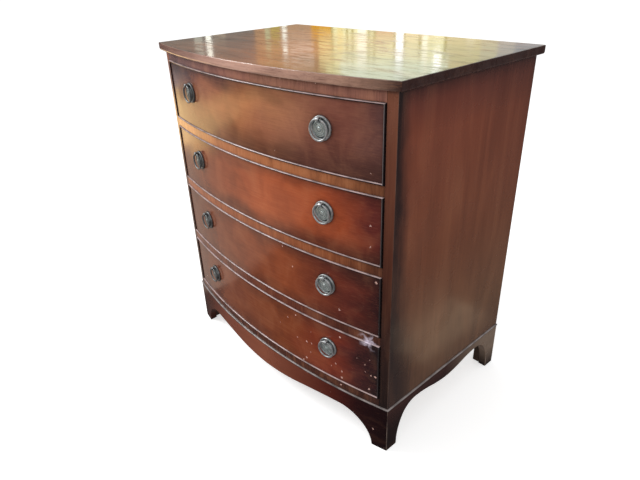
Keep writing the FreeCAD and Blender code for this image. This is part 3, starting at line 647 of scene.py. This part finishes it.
def turn_round(bm, axis, steps):
    """Turn a section right round an axis through the origin."""
    bmesh.ops.spin(bm, geom=all_of(bm), cent=ORIGIN, axis=axis, angle=2 * math.pi, steps=steps,
                   use_merge=True)
    bmesh.ops.remove_doubles(bm, verts=bm.verts, dist=WELD)


def fill_ends(bm):
    """Close what is open, such as the ends of a strip."""
    bmesh.ops.holes_fill(bm, edges=[e for e in bm.edges if e.is_boundary], sides=0)


def cut_away(bm, place, direction):
    """Take off what lies past a plane, on the side that the direction points to."""
    bmesh.ops.bisect_plane(bm, geom=all_of(bm), dist=WELD / 10, plane_co=place,
                           plane_no=direction, clear_outer=True)
    fill_ends(bm)


def mirrored(bm):
    """Add the mirror image across the middle of the chest."""
    made = bmesh.ops.duplicate(bm, geom=all_of(bm))
    bmesh.ops.scale(bm, verts=points_of(made), vec=(-1, 1, 1))
    return bm


def rounded_section(back, tip, low, high):
    """Flat section of a round-nosed strip: X is the reach to the nose, Y the width."""
    bm = oblong((back, tip), (low, high))
    nose = [v for v in bm.verts if v.co.x > (back + tip) / 2]
    round_off(bm, nose, "VERTICES", (high - low) / 2, 5)
    bmesh.ops.remove_doubles(bm, verts=bm.verts, dist=WELD)
    return bm


def bowed_strip(section, half):
    """Carry a section of (reach, height) round the bow, to just past x = half on both sides."""
    for v in section.verts:
        v.co = Vector((0, BOW_AXIS_Y - v.co.x, v.co.y))
    angle = math.asin(half / BOW_RADIUS) + BOW_OVERRUN
    bmesh.ops.rotate(section, verts=section.verts, cent=BOW_AXIS,
                     matrix=Matrix.Rotation(-angle, 3, "Z"))
    bmesh.ops.delete(section, geom=section.faces[:], context="FACES_ONLY")
    bmesh.ops.spin(section, geom=all_of(section), cent=BOW_AXIS, axis=Z_AXIS, angle=2 * angle,
                   steps=BOW_STEPS)
    fill_ends(section)
    return section


def cock_bead(number):
    """Four round-nosed strips round a drawer front, mitred at the corners."""
    low, high = (corner.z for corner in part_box("drawer_%d_front" % number))
    back, tip = BOW_RADIUS - BEAD_REBATE, BOW_RADIUS + BEAD_PROUD
    whole = bmesh.new()
    for edge, inner, turn in ((low, low + BEAD_THICK, 1), (high, high - BEAD_THICK, -1)):
        strip = bowed_strip(rounded_section(back, tip, min(edge, inner), max(edge, inner)),
                            DRAWER_HALF)
        for side in (-1, 1):
            cut_away(strip, (side * DRAWER_HALF, 0, edge), (side, 0, turn))
        add(whole, strip)
    upright = rounded_section(back, tip, DRAWER_HALF - BEAD_THICK, DRAWER_HALF)
    for v in upright.verts:
        v.co = Vector((v.co.y, bow_y(v.co.y, v.co.x), low))
    draw_out(upright, (0, 0, high - low))
    cut_away(upright, (DRAWER_HALF, 0, low), (-1, 0, -1))
    cut_away(upright, (DRAWER_HALF, 0, high), (-1, 0, 1))
    add(whole, mirrored(upright))
    piece("cock_bead_%d" % number, whole, BEAD, "drawer_%d" % number, "bead_mahogany",
          "drawer_%d_cock_bead" % number)


def plinth_bead():
    """Half-round bead between carcass and base, round the front and back along the sides."""
    low, high = (corner.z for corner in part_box("plinth_bead"))
    tip = BOW_RADIUS + PLINTH_PROUD
    tip_half = HALF_WIDTH + PLINTH_PROUD
    back = BOW_RADIUS + BASE_PROUD - BASE_THICK
    back_half = HALF_WIDTH + BASE_PROUD - BASE_THICK
    outer = Vector((tip_half, bow_y(tip_half, tip), 0))
    inner = Vector((back_half, bow_y(back_half, back), 0))
    slope = outer - inner
    whole = bowed_strip(rounded_section(back, tip, low, high), tip_half)
    for side in (-1, 1):
        cut_away(whole, (side * outer.x, outer.y, 0), (side * -slope.y, slope.x, 0))
    strip = rounded_section(back_half, tip_half, low, high)
    for v in strip.verts:
        v.co = Vector((v.co.x, outer.y, v.co.y))
    draw_out(strip, (0, BACK_Y - outer.y, 0))
    cut_away(strip, outer, (slope.y, -slope.x, 0))
    add(whole, mirrored(strip))
    piece("plinth_moulding", whole, PLINTH_BEAD, "carcass", "bead_mahogany", "plinth_bead")


def top_slab():
    """Bowed slab with a rounded lower edge and an eased upper one."""
    low, high = (corner.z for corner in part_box("top"))
    bm = bmesh.new()
    corner = bmesh.ops.create_vert(bm, co=(-TOP_HALF, bow_y(TOP_HALF, TOP_RADIUS), high))
    bmesh.ops.spin(bm, geom=corner["vert"], cent=BOW_AXIS, axis=Z_AXIS, steps=BOW_STEPS,
                   angle=2 * math.asin(TOP_HALF / TOP_RADIUS))
    sheet = bmesh.ops.extrude_edge_only(bm, edges=bm.edges[:])
    for v in points_of(sheet):
        v.co.y = TOP_BACK_Y
    draw_out(bm, (0, 0, low - high))
    bmesh.ops.recalc_face_normals(bm, faces=bm.faces)
    for z, radius, segments in ((low, TOP_LOWER_ROUND, 6), (high, TOP_UPPER_ARRIS, 3)):
        edges = [e for e in bm.edges
                 if all(abs(v.co.z - z) < WELD for v in e.verts)
                 and len(e.link_faces) == 2
                 and any(abs(f.normal.z) < 0.5 for f in e.link_faces)
                 and not all(abs(v.co.y - TOP_BACK_Y) < WELD for v in e.verts)]
        round_off(bm, edges, "EDGES", radius, segments)
    true_flats(piece("polished_top", bm, TOP_POLISH, "carcass", "top_mahogany", "top"))


def on_drawer(number, side):
    """Matrix that moves a shape drawn at the origin, facing -Y, onto a drawer's face."""
    low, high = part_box("drawer_%d_front" % number)
    angle = math.asin(side * PULL_X / BOW_RADIUS)
    place = Vector((side * PULL_X, BOW_AXIS_Y - BOW_RADIUS * math.cos(angle),
                    (low.z + high.z) / 2 + PULL_RISE))
    return Matrix.Translation(place) @ Matrix.Rotation(angle, 4, "Z")


# The plate's profile from its back to its button, as (radius, height) in mm
PLATE_PROFILE = (
    (0, 0), (22.4, 0), (22.5, 2.2), (21.9, 3.4), (20.4, 3.8), (19.0, 3.4), (18.2, 2.2),
    (16.4, 1.9), (15.4, 2.8), (14.9, 5.2), (13.8, 6.2), (12.3, 6.5), (11.7, 6.1),
    (11.2, 6.6), (9.1, 7.1), (8.4, 6.7), (7.9, 7.1), (5.7, 7.4), (4.8, 7.0), (4.1, 7.2),
    (3.6, 8.0), (2.4, 8.4), (0, 8.5))
PLATE_ROUND = 0.35 * MM
PLATE_STEPS = 56
# The rim's finish, the one of the dome inside this radius, and the one of the turned grooves
# between these radii
PLATE_FINISHES = (BRASS, DOME_BRASS, GRIME)
PLATE_DOME = 15.1 * MM
PLATE_GROOVES = ((15.3 * MM, 18.2 * MM), (11.4 * MM, 12.2 * MM), (8.1 * MM, 8.8 * MM),
                 (4.5 * MM, 5.4 * MM))
LUG_EASE = 0.6 * MM
LUG_STEPS = 28
# The neck tapers from the plate to the lug, and stops this far short of the eye
NECK_FOOT = 3.2 * MM
NECK_TIP = 2.3 * MM
NECK_GAP = 0.5 * MM
NECK_STEPS = 20
RING_STEPS = 72
WIRE_STEPS = 14
# The washer, the nut and the end of the stem: sides, radius, depth and middle, in mm
NUT_PARTS = ((24, 7, 1, 0.6), (6, 4.6, 2.6, 2.4), (16, 2, 1.4, 4.2))


def turned_plate():
    """Turned plate with a bold rim, a deep ring, a reeded dome and a button."""
    bm = bmesh.new()
    verts = [bm.verts.new((radius * MM, -height * MM, 0)) for radius, height in PLATE_PROFILE]
    for a, b in zip(verts, verts[1:]):
        bm.edges.new((a, b))
    round_off(bm, verts[1:-1], "VERTICES", PLATE_ROUND, 3)
    turn_round(bm, Y_AXIS, PLATE_STEPS)
    for face in bm.faces:
        middle = face.calc_center_median()
        away = math.hypot(middle.x, middle.z)
        if any(low < away < high for low, high in PLATE_GROOVES):
            face.material_index = PLATE_FINISHES.index(GRIME)
        elif away < PLATE_DOME:
            face.material_index = PLATE_FINISHES.index(DOME_BRASS)
    return bm


def pull_plate():
    """The plate, with the lug that the ring hangs from on its short neck."""
    bm = turned_plate()
    lug = oblong((-LUG_WIDTH / 2, LUG_WIDTH / 2), (EYE_RADIUS, LUG_RADIUS))
    round_off(lug, lug.verts[:], "VERTICES", LUG_EASE, 2)
    bmesh.ops.delete(lug, geom=lug.faces[:], context="FACES_ONLY")
    turn_round(lug, X_AXIS, LUG_STEPS)
    bmesh.ops.translate(lug, vec=(0, -RING_STANDOFF, RING_RISE), verts=lug.verts)
    add(bm, lug)
    neck = bmesh.new()
    reach = RING_STANDOFF - EYE_RADIUS - NECK_GAP
    bmesh.ops.create_cone(neck, cap_ends=True, segments=NECK_STEPS, radius1=NECK_FOOT,
                          radius2=NECK_TIP, depth=reach)
    bmesh.ops.rotate(neck, verts=neck.verts, cent=ORIGIN,
                     matrix=Matrix.Rotation(math.pi / 2, 3, "X"))
    bmesh.ops.translate(neck, vec=(0, -reach / 2, RING_RISE), verts=neck.verts)
    add(bm, neck)
    return bm


def wire_ring():
    """Plain ring of round wire, hanging from its lug."""
    bm = bmesh.new()
    bmesh.ops.create_circle(bm, segments=WIRE_STEPS, radius=WIRE_RADIUS)
    bmesh.ops.translate(bm, vec=(RING_RADIUS, 0, 0), verts=bm.verts)
    turn_round(bm, Y_AXIS, RING_STEPS)
    bmesh.ops.translate(bm, vec=(0, -RING_STANDOFF, RING_RISE - RING_RADIUS), verts=bm.verts)
    return bm


def inside_nut():
    """Washer and hexagon nut on the pull's stem, inside the drawer."""
    bm = bmesh.new()
    for sides, radius, depth, middle in NUT_PARTS:
        bmesh.ops.create_cone(bm, cap_ends=True, segments=sides, radius1=radius * MM,
                              radius2=radius * MM, depth=depth * MM,
                              matrix=Matrix.Translation((0, 0, middle * MM)))
    bmesh.ops.rotate(bm, verts=bm.verts, cent=ORIGIN,
                     matrix=Matrix.Rotation(-math.pi / 2, 3, "X"))
    bmesh.ops.translate(bm, vec=(0, FRONT_THICK, 0), verts=bm.verts)
    return bm


def fit_pulls(number):
    """Plates, rings and nuts of one drawer."""
    body = "drawer_%d" % number
    plates, nuts = bmesh.new(), bmesh.new()
    for side, word in ((-1, "left"), (1, "right")):
        place = on_drawer(number, side)
        for target, shape in ((plates, pull_plate()), (nuts, inside_nut())):
            shape.transform(place)
            add(target, shape)
        ring = wire_ring()
        ring.transform(place)
        hung = "%s_ring_%s" % (body, word)
        piece("ring_%d_%s" % (number, word), ring, BRASS, hung, "antique_brass", hung)
    plate = piece("pull_plates_%d" % number, plates, BRASS, body, "antique_brass",
                  body + "_pull_plates")
    for finish in PLATE_FINISHES[1:]:
        plate.data.materials.append(finish)
    piece("pull_nuts_%d" % number, nuts, BRASS, body, "antique_brass")


def paint(names, finish):
    """Give CAD nodes whose shape is right their finish."""
    for name in names:
        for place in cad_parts[name].material_slots:
            place.link = "OBJECT"
            place.material = finish


# ---- The chest

top_slab()
plinth_bead()
for number in DRAWERS:
    finished_copy("drawer_%d_front" % number, FRONTS[number], "drawer_%d" % number,
                  "front_mahogany")
    cock_bead(number)
    fit_pulls(number)
    paint(["drawer_%d_left_side" % number, "drawer_%d_right_side" % number], OAK_Y)
    paint(["drawer_%d_back" % number], OAK_X)
    paint(["drawer_%d_bottom" % number], PLY)
for rail in ("top_rail", "drawer_rail_1", "drawer_rail_2", "drawer_rail_3", "bottom_rail"):
    finished_copy(rail, RAIL_POLISH, "carcass", "rail_mahogany")
for side in ("left_side", "right_side"):
    ease(finished_copy(side, SIDE_POLISH, "carcass", "side_mahogany"), SIDE_EASE)
ease(finished_copy("base_front", BASE_POLISH, "carcass", "base_mahogany"), BASE_EASE)
for board in ("base_left", "base_right"):
    ease(finished_copy(board, BASE_SIDE_POLISH, "carcass", "base_mahogany"), BASE_EASE)
paint(["runners", "top_kickers"], PINE_Y)
paint(["drawer_stops", "dustboards"], PINE_X)
paint(["rear_brackets", "glue_blocks"], BASE_PINE)
paint(["back_panel"], BACK_PLY)


# ---- The studio

CAMERA_PLACE = Vector((0.8994, -0.8372, 0.9732))
CAMERA_LENS = 29.906
CAMERA_SHIFT = (0.0040, 0.0037)
# Which way the camera looks: round from +Y, down, and how it is tilted
AZIMUTH = math.radians(48.508)
ELEVATION = math.radians(28.013)
ROLL = math.radians(-2.246)

FLOOR_REACH = 30.0
TENT_RADIUS = 5.0
TENT_HEIGHT = 2.6
TENT_LIFT = 0.5 * MM
TENT_SIDES = 64
# The eye's mirror image in the top, and how far from it the panes stand, with the glow behind
# them and the bars before them
MIRRORED_EYE = Vector((CAMERA_PLACE.x, CAMERA_PLACE.y,
                       2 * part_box("top")[1].z - CAMERA_PLACE.z))
PANE_DISTANCE = 4.0
GLOW_DISTANCE = 4.2
BAR_DISTANCE = 3.96
# Broad lit cards and the panes before them: azimuth, width, lowest and highest elevation, all in
# degrees, then colour and strength
GLOW = (
    (41.0, 12.0, 3, 16, "#fffcc4", 1.62), (31.7, 6.6, 3, 16, "#fff6c0", 1.25),
    (50.5, 7.0, 3, 16, "#ffd0a0", 0.72), (59.0, 10.0, 3, 16, "#faf0e2", 0.34),
)
PANES = (
    (59.6, 0.8, 4, 9, "#d8d8c8", 1.0), (58.6, 0.5, 4, 9, "#fffff0", 2.3),
    (57.5, 1.2, 4, 6.6, "#e8dcc4", 0.75), (52.7, 0.5, 4, 8.2, "#ffffc8", 0.8),
    (51.9, 0.9, 4, 6.8, "#f0e070", 0.9), (51.0, 0.45, 4, 8.8, "#fffff0", 1.8),
    (49.3, 2.4, 7.4, 9.6, "#ffe8d0", 1.2), (47.3, 2.0, 4, 7.0, "#ffb810", 1.2),
    (46.8, 1.6, 7.0, 10, "#fff0b0", 1.5), (45.4, 0.6, 4, 9, "#fff0a8", 1.6),
    (43.2, 0.9, 4, 14, "#fffbe0", 2.1), (41.0, 2.0, 4, 7.0, "#ffcca0", 1.15),
    (39.4, 0.7, 4, 14, "#ffffff", 3.0), (38.0, 1.6, 4, 8.6, "#fff6c4", 1.6),
    (36.9, 0.5, 4, 14, "#fffce0", 2.2), (35.6, 0.7, 9, 10.6, "#ffffff", 4.0),
    (32.5, 0.8, 4, 7, "#fffce0", 1.8), (30.7, 1.6, 3, 14, "#f8f2cc", 1.2),
    (29.1, 1.6, 3, 14, "#f4f0e4", 0.98), (26.2, 4.2, 3, 14, "#f0f2f4", 0.78),
    (40.0, 11.0, 9.4, 16, "#f2fce2", 1.9),
)
# The azimuths of the thin yellow-green bars before the panes, and what follows for all of them
BARS = (46.2, 44.7, 44.15, 42.5, 41.95, 39.9, 38.95, 37.4, 34.9)
BAR = (0.22, 4, 9.4, "#d4cc80", 1.15)
# Lit cards on the floor: where each lies along X and along Y, its height, colour and strength
GOLD = "#ffd59a"
FLOOR_CARDS = {
    "gold_card_1": ((-3.45, -2.2), (-1.1, 0.3), 2 * MM, GOLD, 2.8),
    "gold_card_2": ((-3.1, -2.3), (-2.0, -1.1), 2 * MM, GOLD, 2.8),
    "gold_card_3": ((-2.8, -1.25), (-2.8, -2.0), 2 * MM, GOLD, 2.2),
    "gold_card_4": ((-3.95, -3.45), (-0.45, 0.3), 2 * MM, GOLD, 2.6),
    "gold_card_5": ((-2.2, -1.95), (-0.95, -0.4), 2 * MM, GOLD, 2.0),
    "pale_card": ((-2.35, -0.5), (-1.3, 0.5), 1 * MM, "#ffe2d0", 0.66),
    "lilac_card": ((-4.95, -3.95), (-0.95, 0.3), 1 * MM, "#b8b4bc", 1.25),
    "side_card": ((0.49, 0.62), (0.1, 0.42), 1 * MM, "#ffe8cc", 0.7),
    "blue_card": ((-4.95, -3.2), (-2.9, -0.95), 1 * MM, "#7c88a0", 1.0),
}


def stage_piece(name, bm, finish):
    """An object of the studio, which is no part of the chest."""
    mesh = mesh_of(name, bm)
    mesh.materials.append(finish)
    made = put(name, mesh)
    return made


def reflector(name, bm, finish):
    """A lit card that lights nothing itself: only glossy surfaces show it."""
    made = stage_piece(name, bm, finish)
    for ray in ("camera", "diffuse", "transmission", "volume_scatter", "shadow"):
        setattr(made, "visible_" + ray, False)


def seen(n):
    """1 where the eye sees a thing, straight, mirrored or through glass, and 0 for its light."""
    path = n("LightPath").outputs
    beyond = n("Math", path["Is Glossy Ray"], path["Is Transmission Ray"], operation="MAXIMUM")
    return n("Math", path["Is Camera Ray"], beyond, operation="MAXIMUM")


def white_paper():
    """Seamless white paper: bright to the eye and in reflections, and it keeps its shadow."""
    made, n = new_finish("white_paper")
    paper = n("BsdfDiffuse", "#e8e8e8")
    both = n("AddShader", paper, n("Emission", "#ffffff", 0.55))
    n("OutputMaterial", n("MixShader", seen(n), paper, both))
    return made


def white_room():
    """Even white surroundings: full strength to the eye, and seven tenths of it as light."""
    world = bpy.data.worlds.new("white_room")
    bpy.context.scene.world = world
    world.use_nodes = True
    world.node_tree.nodes.clear()
    n = functools.partial(node, world.node_tree)
    n("OutputWorld", n("Background", "#ffffff", n("MapRange", seen(n), 0.0, 1.0, 0.7, 1.0)))


def glowing(name, colour, strength):
    """Plain lit card or cloth of one colour."""
    made, n = new_finish(name)
    n("OutputMaterial", n("Emission", colour, strength))
    made.cycles.emission_sampling = "NONE"
    return made


def tent():
    """A dim round tent of brown cloth, open above, that the polish shows in place of paper."""
    bm = bmesh.new()
    bmesh.ops.create_circle(bm, cap_ends=True, segments=TENT_SIDES, radius=TENT_RADIUS)
    wall = bmesh.ops.extrude_edge_only(bm, edges=[e for e in bm.edges if e.is_boundary])
    bmesh.ops.translate(bm, vec=(0, 0, TENT_HEIGHT), verts=points_of(wall))
    bmesh.ops.translate(bm, vec=(0, 0, TENT_LIFT), verts=bm.verts)
    reflector("tent", bm, glowing("brown_cloth", "#a89a98", 0.4))


def pane(name, reach, azimuth, width, lowest, highest, colour, strength):
    """A standing card, placed in degrees as the eye's mirror image under the top sees it."""
    half = reach * math.radians(width) / 2
    bm = oblong((-half, half),
                [reach * math.tan(math.radians(angle)) for angle in (lowest, highest)])
    bm.transform(Matrix.Translation(MIRRORED_EYE)
                 @ Matrix.Rotation(math.radians(azimuth), 4, "Z")
                 @ Matrix.Translation((0, reach, 0))
                 @ Matrix.Rotation(math.pi / 2, 4, "X"))
    reflector(name, bm, glowing(name, colour, strength))


def floor_card(name, x, y, height, colour, strength):
    """A card lying just above the floor between two places along X and along Y."""
    bm = oblong(x, y)
    bmesh.ops.translate(bm, vec=(0, 0, height), verts=bm.verts)
    reflector(name, bm, glowing(name, colour, strength))


def softbox(name, place, aim, width, height, watts):
    """An oblong lamp that shines from a place at an aim, out of the camera's sight."""
    lamp = bpy.data.lights.new(name, "AREA")
    lamp.shape = "RECTANGLE"
    lamp.size, lamp.size_y = width, height
    lamp.energy = watts
    made = put(name, lamp)
    made.location = place
    made.rotation_mode = "QUATERNION"
    made.rotation_quaternion = (Vector(aim) - Vector(place)).to_track_quat("-Z", "Y")
    made.visible_camera = False


camera = put("camera", bpy.data.cameras.new("camera"))
camera.data.lens = CAMERA_LENS
camera.data.shift_x, camera.data.shift_y = CAMERA_SHIFT
camera.matrix_world = (Matrix.Translation(CAMERA_PLACE) @ Matrix.Rotation(AZIMUTH, 4, "Z")
                       @ Matrix.Rotation(math.pi / 2 - ELEVATION, 4, "X")
                       @ Matrix.Rotation(ROLL, 4, "Z"))
bpy.context.scene.camera = camera

stage_piece("floor", oblong((-FLOOR_REACH, FLOOR_REACH), (-FLOOR_REACH, FLOOR_REACH)),
            white_paper())
white_room()
tent()
for name, values in FLOOR_CARDS.items():
    floor_card(name, *values)
for number, values in enumerate(GLOW, 1):
    pane("glow_%d" % number, GLOW_DISTANCE, *values)
# each pane stands a millimetre nearer than the last, so that no two share a plane
for number, values in enumerate(PANES, 1):
    pane("pane_%d" % number, PANE_DISTANCE - number * MM, *values)
for number, azimuth in enumerate(BARS, 1):
    pane("bar_%d" % number, BAR_DISTANCE, azimuth, *BAR)
softbox("key", (-2.45, -1.65, 2.3), aim=(0, 0, 0.5), width=1.6, height=1.4, watts=80)
softbox("fill", (2.4, -1.4, 1.6), aim=(0, 0, 0.4), width=1.4, height=1.4, watts=10)
bpy.context.scene.view_settings.view_transform = "Standard"
